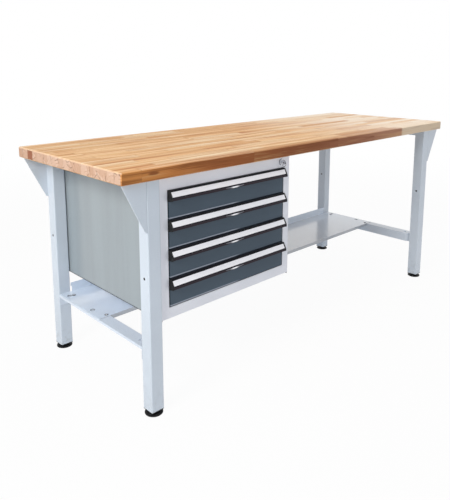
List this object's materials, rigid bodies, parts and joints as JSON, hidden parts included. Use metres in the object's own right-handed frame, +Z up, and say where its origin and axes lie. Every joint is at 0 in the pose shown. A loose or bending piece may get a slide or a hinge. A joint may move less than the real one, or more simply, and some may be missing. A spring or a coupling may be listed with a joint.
{
  "type": "workbench with drawer unit",
  "caption": "Workbench with a thick beech top on welded steel leg frames, a hung drawer unit with full-width handles at the left and a half-depth rear shelf.",
  "frame": {"origin": "on the floor under the middle of the top", "axes": "+X to the right along the top, +Y to the back, +Z up; the drawers open towards -Y"},
  "size_m": [2, 0.7, 0.84],
  "materials": {
    "beech": "oiled solid beech staves",
    "frame_paint": "light grey powder coat",
    "cabinet_paint": "light grey powder coat",
    "drawer_paint": "anthracite powder coat",
    "tray_paint": "light grey powder coat",
    "zinc_steel": "bright zinc plated",
    "handle_plastic": "dark grey extruded plastic",
    "black_plastic": "black moulded plastic",
    "label_white": "blank white strip",
    "catch_metal": "bright metal tab",
    "lock_nickel": "nickel plated"
  },
  "bodies": {
    "frame": {"cabinet_back": "cabinet_paint", "cabinet_bottom_rail": "cabinet_paint", "cabinet_floor": "cabinet_paint", "cabinet_side_left": "cabinet_paint", "cabinet_side_right": "cabinet_paint", "cabinet_top_rail": "cabinet_paint", "gussets": "frame_paint", "leg_end_caps": "black_plastic", "leg_front_left": "frame_paint", "leg_front_right": "frame_paint", "leg_rear_left": "frame_paint", "leg_rear_right": "frame_paint", "lock_housing": "lock_nickel", "lower_rail_left": "frame_paint", "lower_rail_right": "frame_paint", "shelf": "frame_paint", "shelf_screws": "zinc_steel", "slides_fixed": "zinc_steel", "tabletop": "beech", "top_rails": "frame_paint", "top_screws": "zinc_steel"},
    "drawer_1": {"drawer_front_1": "drawer_paint", "drawer_tray_1": "tray_paint", "handle_1": "handle_plastic", "handle_caps_1": "black_plastic", "label_strip_1": "label_white", "slide_inner_1": "zinc_steel"},
    "drawer_2": {"drawer_front_2": "drawer_paint", "drawer_tray_2": "tray_paint", "handle_2": "handle_plastic", "handle_caps_2": "black_plastic", "label_strip_2": "label_white", "slide_inner_2": "zinc_steel"},
    "drawer_3": {"drawer_front_3": "drawer_paint", "drawer_tray_3": "tray_paint", "handle_3": "handle_plastic", "handle_caps_3": "black_plastic", "label_strip_3": "label_white", "slide_inner_3": "zinc_steel"},
    "drawer_4": {"drawer_front_4": "drawer_paint", "drawer_tray_4": "tray_paint", "handle_4": "handle_plastic", "handle_caps_4": "black_plastic", "label_strip_4": "label_white", "slide_inner_4": "zinc_steel"},
    "levelling_foot_front_left": {"foot_front_left": "black_plastic"},
    "levelling_foot_front_right": {"foot_front_right": "black_plastic"},
    "levelling_foot_rear_left": {"foot_rear_left": "black_plastic"},
    "levelling_foot_rear_right": {"foot_rear_right": "black_plastic"},
    "catch_1": {"handle_catch_1": "catch_metal"},
    "catch_2": {"handle_catch_2": "catch_metal"},
    "catch_3": {"handle_catch_3": "catch_metal"},
    "catch_4": {"handle_catch_4": "catch_metal"},
    "locking_bar": {"lock_bar": "zinc_steel"},
    "key": {"lock_key": "lock_nickel", "lock_plug": "lock_nickel"},
    "runner_1": {"slide_middle_1": "zinc_steel"},
    "runner_2": {"slide_middle_2": "zinc_steel"},
    "runner_3": {"slide_middle_3": "zinc_steel"},
    "runner_4": {"slide_middle_4": "zinc_steel"}
  },
  "joints": [
    {"name": "drawer_1_slide", "type": "slide", "parent": "frame", "child": "drawer_1", "axis": [0, -1, 0], "range_m": [0, 0.48]},
    {"name": "runner_1_slide", "type": "slide", "parent": "frame", "child": "runner_1", "axis": [0, -1, 0], "range_m": [0, 0.24]},
    {"name": "catch_1_pull", "type": "slide", "parent": "drawer_1", "child": "catch_1", "axis": [0, -1, 0], "range_m": [0, 0.003], "stiffness_N_per_m": 200},
    {"name": "drawer_2_slide", "type": "slide", "parent": "frame", "child": "drawer_2", "axis": [0, -1, 0], "range_m": [0, 0.48]},
    {"name": "runner_2_slide", "type": "slide", "parent": "frame", "child": "runner_2", "axis": [0, -1, 0], "range_m": [0, 0.24]},
    {"name": "catch_2_pull", "type": "slide", "parent": "drawer_2", "child": "catch_2", "axis": [0, -1, 0], "range_m": [0, 0.003], "stiffness_N_per_m": 200},
    {"name": "drawer_3_slide", "type": "slide", "parent": "frame", "child": "drawer_3", "axis": [0, -1, 0], "range_m": [0, 0.48]},
    {"name": "runner_3_slide", "type": "slide", "parent": "frame", "child": "runner_3", "axis": [0, -1, 0], "range_m": [0, 0.24]},
    {"name": "catch_3_pull", "type": "slide", "parent": "drawer_3", "child": "catch_3", "axis": [0, -1, 0], "range_m": [0, 0.003], "stiffness_N_per_m": 200},
    {"name": "drawer_4_slide", "type": "slide", "parent": "frame", "child": "drawer_4", "axis": [0, -1, 0], "range_m": [0, 0.48]},
    {"name": "runner_4_slide", "type": "slide", "parent": "frame", "child": "runner_4", "axis": [0, -1, 0], "range_m": [0, 0.24]},
    {"name": "catch_4_pull", "type": "slide", "parent": "drawer_4", "child": "catch_4", "axis": [0, -1, 0], "range_m": [0, 0.003], "stiffness_N_per_m": 200},
    {"name": "key_turn", "type": "hinge", "parent": "frame", "child": "key", "pos_m": [-0.264, -0.325, 0.7775], "axis": [0, -1, 0], "range_deg": [0, 90]},
    {"name": "locking_bar_lift", "type": "slide", "parent": "frame", "child": "locking_bar", "axis": [0, 0, 1], "range_m": [0, 0.01]},
    {"name": "foot_front_left_adjust", "type": "slide", "parent": "frame", "child": "levelling_foot_front_left", "axis": [0, 0, -1], "range_m": [0, 0.02]},
    {"name": "foot_front_right_adjust", "type": "slide", "parent": "frame", "child": "levelling_foot_front_right", "axis": [0, 0, -1], "range_m": [0, 0.02]},
    {"name": "foot_rear_left_adjust", "type": "slide", "parent": "frame", "child": "levelling_foot_rear_left", "axis": [0, 0, -1], "range_m": [0, 0.02]},
    {"name": "foot_rear_right_adjust", "type": "slide", "parent": "frame", "child": "levelling_foot_rear_right", "axis": [0, 0, -1], "range_m": [0, 0.02]}
  ],
  "couplings": [
    {"joint": "runner_1_slide", "follows": "drawer_1_slide", "ratio": 0.5},
    {"joint": "runner_2_slide", "follows": "drawer_2_slide", "ratio": 0.5},
    {"joint": "runner_3_slide", "follows": "drawer_3_slide", "ratio": 0.5},
    {"joint": "runner_4_slide", "follows": "drawer_4_slide", "ratio": 0.5},
    {"joint": "key_turn", "follows": "locking_bar_lift", "rad_per_m": 157.08}
  ]
}
